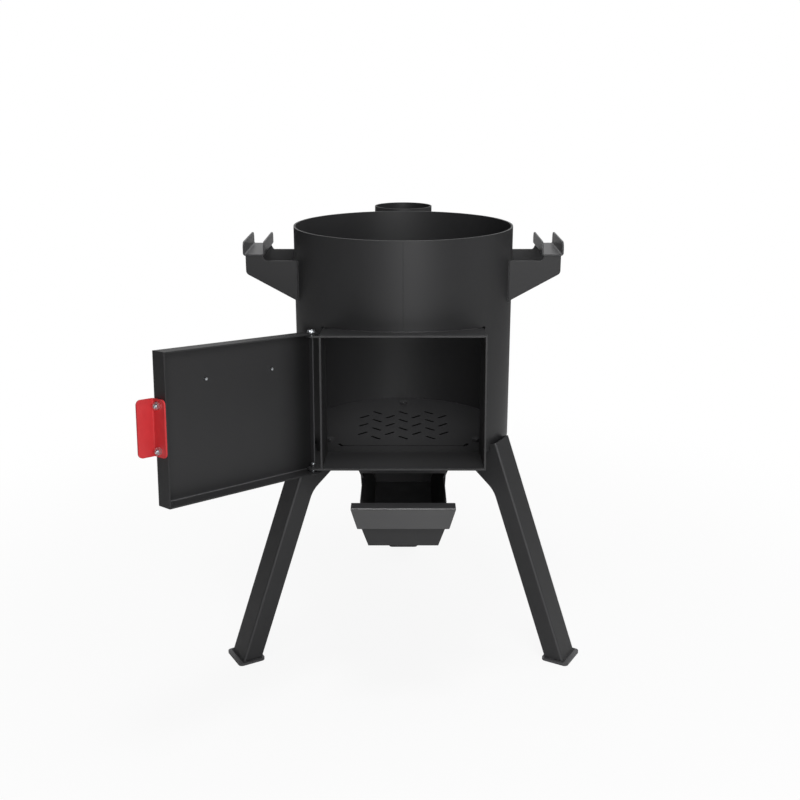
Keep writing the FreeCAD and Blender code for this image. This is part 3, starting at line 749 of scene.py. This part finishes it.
# Radius and pitch
m6, m8 = (0.003, 0.001), (0.004, 0.00125)
for name, groups, direction, length, (radius, pitch), body, slot, finish in (
    ("hinge_thread", hinge_groups, hinge_axis, 0.0066, m6, "stove", "zinc", low_bolt_finish),
    ("pull_threads", pull_groups, door_run, 0.0019, m6, "door", "zinc", zinc),
    ("leg_threads", leg_groups, down, 0.0019, m8, "stove", "black_paint", paint),
):
    grown(
        name, thread_tree, thread_paths(groups, direction, length), body, slot,
        Bolt_Radius=radius, Thread_Pitch=pitch, Length=length, Material=finish,
    )

# %% [markdown]
# ## Rivets and flanged heads
# Two blind rivets close the holes in the door, with their pulled tails on the side that the photograph
# shows. The top hinge bolt has a head with a flange, which spreads its load on the door. Both are turned
# parts, so both come from one lathe: a profile of radii and heights that is spun round a line.


# %% Lathe
def lathe(name, profile, feet, direction, body, finish, steps=24):
    """Spins a profile of (radius, height) steps round a direction at each foot, and rides on a body."""
    across = direction.orthogonal().normalized()
    other = direction.cross(across)
    spin = [across * cos(2 * pi * i / steps) + other * sin(2 * pi * i / steps) for i in range(steps)]
    points, faces = [], []
    for foot in feet:
        first = len(points)
        points += [foot + direction * rise + turn * radius for radius, rise in profile for turn in spin]
        for ring in range(len(profile) - 1):
            low = first + ring * steps
            high = low + steps
            turns = [(i, (i + 1) % steps) for i in range(steps)]
            faces += [(low + i, low + j, high + j, high + i) for i, j in turns]
        faces.append(tuple(first + steps - 1 - i for i in range(steps)))
        last = first + (len(profile) - 1) * steps
        faces.append(tuple(last + i for i in range(steps)))
    mesh = bpy.data.meshes.new(name)
    mesh.from_pydata(points, [], faces)
    mesh.materials.append(finish)
    piece = bpy.data.objects.new(name, mesh)
    bpy.context.scene.collection.objects.link(piece)
    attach(piece, body)
    print(name, len(faces), "faces on", body)
    return piece


# %% Rivets and flanged heads
skin_depth = -0.015
rivet_rise = 0.05845
rivet_runs = (0.066, 0.184)
rivet_profile = (
    (0.0012, -0.0027), (0.0030, -0.0022), (0.0040, -0.0012), (0.0040, -0.0011), (0.00215, -0.0011),
    (0.00215, 0.0030), (0.0019, 0.0036), (0.0010, 0.0039),
)
rivet_feet = [
    hinge_place + door_run * run + door_in * skin_depth + hinge_axis * rivet_rise for run in rivet_runs
]
lathe("door_rivets", rivet_profile, rivet_feet, door_in, "door", zinc)
flange_profile = (
    (0.0050, 0.0001), (0.0063, 0.0001), (0.0065, 0.0004), (0.0062, 0.0010), (0.0052, 0.0018),
)
door_top = max((p - hinge_place).dot(hinge_axis) for p in corners_of("door_panel"))
flange_foot = hinge_place + hinge_axis * door_top
lathe("bolt_flange", flange_profile, [flange_foot], hinge_axis, "stove", zinc)

# %% [markdown]
# The door's edge past the hinge is bent in by a few millimetres, like its other three sides but shorter.
# Its free edge carries a painted highlight, the bright upright line beside the collar. It stops
# short of the ears, which the door swings round. A bar of six faces is enough, because the paint rounds it.

# %% Door return
return_half_height = 0.0985
return_section = ((-0.010, -0.0141), (-0.008, -0.0141), (-0.008, -0.0068), (-0.010, -0.0068))
return_spots = [
    (run, depth, rise)
    for rise in (-return_half_height, return_half_height)
    for run, depth in return_section
]
return_mesh = bpy.data.meshes.new("door_return")
return_mesh.from_pydata(
    [hinge_place + door_run * u + door_in * n + hinge_axis * w for u, n, w in return_spots],
    [],
    [(3, 2, 1, 0), (4, 5, 6, 7)] + [(i, (i + 1) % 4, (i + 1) % 4 + 4, i + 4) for i in range(4)],
)
return_mesh.materials.append(paint)
# The free edge's face takes a lighter paint: a painted highlight
return_mesh.materials.append(black_paint("worn_edge", plate_edge_radius, painted_light=free_edge_painted_highlight))
free_edge_face = 4
return_mesh.polygons[free_edge_face].material_index = 1
door_return = bpy.data.objects.new("door_return", return_mesh)
bpy.context.scene.collection.objects.link(door_return)
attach(door_return, "door")
print("door_return", len(return_mesh.polygons), "faces on door")

# %% [markdown]
# ## The tube's seam
# The shell is a sheet rolled into a tube and welded along one line at the front. The weld is ground nearly
# flush, so under the paint it is only a hairline from the rim down to the collar. It is a round wire that
# is sunk into the skin until a tenth of a millimetre stands out.

# %% Shell seam
seam_inputs = {"Wire Radius": "NodeSocketFloat", "Material": "NodeSocketMaterial"}
seam, given = geometry_tree("ground_seam", seam_inputs)
wire_sockets = {"Resolution": 16, "Radius": given["Wire Radius"]}
round_wire = seam.add("GeometryNodeCurvePrimitiveCircle", sockets=wire_sockets)
sweep = {"Curve": given["Geometry"], "Profile Curve": round_wire}
wire = seam.add("GeometryNodeCurveToMesh", sockets=sweep)
seam_tree = close_tree(seam, wire, given["Material"])
seam_radius = 0.0012
seam_stands_out = 0.0001
seam_y = axis.y - shell_radius + seam_radius - seam_stands_out
seam_low = Vector((axis.x, seam_y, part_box("collar_top")[1].z))
seam_high = Vector((axis.x, seam_y, rim_height - 0.0015))
grown(
    "shell_seam", seam_tree, [[seam_low, seam_high]], "stove", "black_paint",
    Wire_Radius=seam_radius, Material=paint,
)

# %% [markdown]
# The collar's roof meets the shell in a curve: the shell's circle, seen on a plane that leans back with the
# collar. A thin smooth weld fills that corner, from the same tree. The plane's height at each place follows
# from the hinge's direction, which stands square to it.

# %% Collar weld
roof = max(p.dot(hinge_axis) for p in corners_of("collar_top"))
collar_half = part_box("collar_right")[1].x - axis.x
half_steps = 24
collar_path = []
for i in range(2 * half_steps + 1):
    corner = on_shell(axis.x + collar_half * (i / half_steps - 1), 0.0, side=-1.0)
    corner.z = (roof - corner.y * hinge_axis.y) / hinge_axis.z
    collar_path.append(corner)
grown(
    "collar_weld", seam_tree, [collar_path[2:-2]], "stove", "black_paint",
    Wire_Radius=seam_radius, Material=paint,
)

# %% [markdown]
# ## Studio
# The photograph has a white ground with hardly a shadow on it. Here a pale floor takes the shadow, and a
# camera ray sees it almost as plain white. Behind the stove the floor also has a painted glow: it gives off
# light that the camera does not see, and that light reaches the black paint from below.

# %% Floor
floor_half_width = 6.0
white = (1.0, 1.0, 1.0, 1.0)
shadow_share = 0.10
shadow_start, shadow_reach = 0.3, 1.4
# A painted glow: the floor gives off light behind the stove, unseen by the camera
painted_floor_glow = 0.7
# Metres behind the axis, and squares of metres to the side, where the glow begins and where it is full
glow_behind_from, glow_behind_full = 0.3, 1.2
glow_aside_from, glow_aside_full = 0.8, 0.1
paper_colour = (0.82, 0.82, 0.82, 1.0)


def floor_finish():
    """Pale paper that the camera sees as white but for a soft shadow near the stove."""
    material, graph, shader = shade("studio_floor")
    plug(graph, shader, Base_Color=paper_colour, Roughness=0.8, Specular_IOR_Level=0.1)
    place = graph.add("ShaderNodeTexCoord")["Object"]
    away = graph.add("ShaderNodeVectorMath", {"operation": "LENGTH"}, {0: place})["Value"]
    near = ramp(graph, away, shadow_reach, shadow_start, shadow_share)
    seen = graph.add("ShaderNodeLightPath")["Is Camera Ray"]
    plain = graph.add("ShaderNodeEmission", sockets={"Color": white, "Strength": 1.0})
    spot = graph.add("ShaderNodeSeparateXYZ", sockets={0: place})
    behind = ramp(graph, spot["Y"], glow_behind_from, glow_behind_full)
    behind = behind * ramp(graph, spot["X"] * spot["X"], glow_aside_from, glow_aside_full)
    glow = (1 - seen) * behind * painted_floor_glow
    glow = graph.add("ShaderNodeEmission", sockets={"Color": white, "Strength": glow})
    lit = graph.add("ShaderNodeAddShader", sockets={0: Wire(graph, shader.outputs[0]), 1: glow})
    sockets = {0: seen * (1 - near), 1: lit, 2: plain}
    mixed = graph.add("ShaderNodeMixShader", sockets=sockets)
    output = next(node for node in graph.tree.nodes if node.type == "OUTPUT_MATERIAL")
    graph.tree.links.new(mixed.socket, output.inputs["Surface"])
    return material


floor_mesh = bpy.data.meshes.new("studio_floor")
corners = [(x, y, 0.0) for x, y in ((-1, -1), (1, -1), (1, 1), (-1, 1))]
floor_mesh.from_pydata([Vector(c) * floor_half_width for c in corners], [], [(0, 1, 2, 3)])
floor_mesh.materials.append(floor_finish())
floor = bpy.data.objects.new("studio_floor", floor_mesh)
bpy.context.scene.collection.objects.link(floor)
print("floor", 2 * floor_half_width, "m wide")

# %% [markdown]
# The world is white to the camera. To reflections only two soft patches of it shine, one behind the stove
# and one on its right, while the side that the camera stands on is dark, as a studio is. A world that is
# white all round would turn the black paint grey.

# %% World
# Direction, how near to it the patch begins and is full (as cosines), and strength
sky_patches = (
    ((0.0, 0.95, 0.32), 0.7, 0.98, 0.92),
    ((1.0, 0.5, 0.25), 0.6, 0.97, 0.62),
)
horizon_fade = 0.2
world = bpy.data.worlds.new("studio")
world.use_nodes = True
world.node_tree.nodes.clear()
sky = Graph(world.node_tree)
ray = sky.add("ShaderNodeLightPath")
look = sky.add("ShaderNodeTexCoord")["Generated"]
height = sky.add("ShaderNodeSeparateXYZ", sockets={0: look})["Z"]
above = ramp(sky, height, 0.0, horizon_fade)
glow = 0.0
for toward, low, high, share in sky_patches:
    facing = along(sky, look, Vector(toward).normalized())
    glow = glow + above * ramp(sky, facing, low, high, share)
rays = {0: ray["Is Camera Ray"], 1: ray["Is Transmission Ray"]}
seen = sky.add("ShaderNodeMath", {"operation": "MAXIMUM"}, rays)
strength = seen + (1 - seen) * glow
paper = sky.add("ShaderNodeBackground", sockets={"Color": white, "Strength": strength})
sky.add("ShaderNodeOutputWorld", sockets={"Surface": paper})
bpy.context.scene.world = world
print(len(sky_patches), "bright patches in the sky")

# %% [markdown]
# Four square lamps light the stove, the strongest in front to the right. The scene was rendered with one
# lamp at a time, and the strengths were chosen so that the sum of those pictures meets the photograph's
# tones.

# %% Lamps
stove_middle = axis + Vector((0.0, 0.0, 0.45))


def soft_lamp(name, place, size, energy):
    """A square soft lamp that faces the stove; its place is counted from the shell's axis."""
    lamp = bpy.data.lights.new(name, "AREA")
    lamp.size = size
    lamp.energy = energy
    holder = bpy.data.objects.new(name, lamp)
    holder.location = axis + Vector(place)
    holder.rotation_euler = (stove_middle - holder.location).to_track_quat("-Z", "Y").to_euler()
    bpy.context.scene.collection.objects.link(holder)
    print(name, energy, "W at", [round(v, 2) for v in holder.location], "m")
    return holder


soft_lamp("front_lamp", (0.3, -2.4, 1.2), size=1.2, energy=31.0)
soft_lamp("high_lamp", (0.0, -0.55, 2.4), size=0.5, energy=15.0)
soft_lamp("top_lamp", (0.2, 0.3, 2.6), size=1.6, energy=16.0)
soft_lamp("side_lamp", (2.2, -0.4, 0.9), size=1.4, energy=3.0)
bpy.context.scene.view_settings.view_transform = "Standard"
